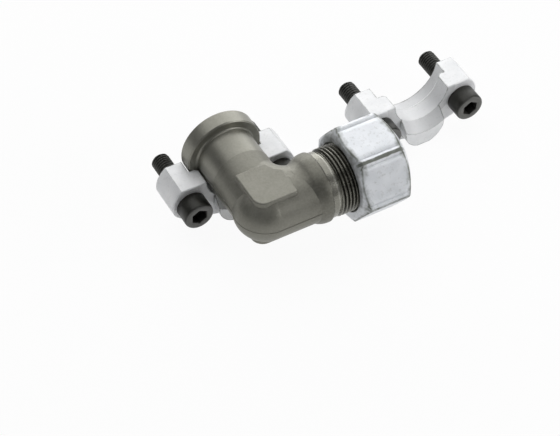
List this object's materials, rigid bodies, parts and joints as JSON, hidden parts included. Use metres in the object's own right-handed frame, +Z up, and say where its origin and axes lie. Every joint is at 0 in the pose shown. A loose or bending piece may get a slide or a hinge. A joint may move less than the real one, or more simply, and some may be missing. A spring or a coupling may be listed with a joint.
{
  "type": "hydraulic flange elbow",
  "caption": "Forged hydraulic elbow with a split flange head on one leg, a hexagon union nut with cutting ring on the other, and loose flange halves with cap screws.",
  "frame": {"origin": "centre of the flange's sealing face, on the axis of its flow bore", "axes": "+Y out of the flange along its bore, +X out of the tube leg, +Z up from the plane of the elbow"},
  "size_m": [0.183, 0.0929, 0.0569],
  "materials": {
    "phosphated_steel": "matt grey phosphate on a shot blasted forging",
    "galvanised_steel": "bluish white zinc, slightly rough",
    "zinc_steel": "bright zinc plate on a forging",
    "black_oxide_steel": "oiled black oxide",
    "bright_steel": "turned steel",
    "seal_rubber": "smooth black nitrile rubber"
  },
  "bodies": {
    "fitting": {"elbow_body": "phosphated_steel", "flange_o_ring": "seal_rubber", "flange_half_near": "zinc_steel", "flange_half_far": "zinc_steel", "cap_screw_near_left": "black_oxide_steel", "cap_screw_near_right": "black_oxide_steel", "cap_screw_far_left": "black_oxide_steel", "cap_screw_far_right": "black_oxide_steel"},
    "ring": {"cutting_ring": "bright_steel"},
    "nut": {"union_nut": "galvanised_steel"}
  },
  "joints": [
    {"name": "ring_slide", "type": "slide", "parent": "fitting", "child": "ring", "axis": [1, 0, 0], "range_m": [-0.003, 0.003]},
    {"name": "nut_turn", "type": "hinge", "parent": "ring", "child": "nut", "pos_m": [0.0585, -0.0513, 0], "axis": [1, 0, 0], "range_deg": [-540, 540]}
  ],
  "couplings": [
    {"joint": "ring_slide", "follows": "nut_turn", "m_per_rad": 0.00031831}
  ]
}
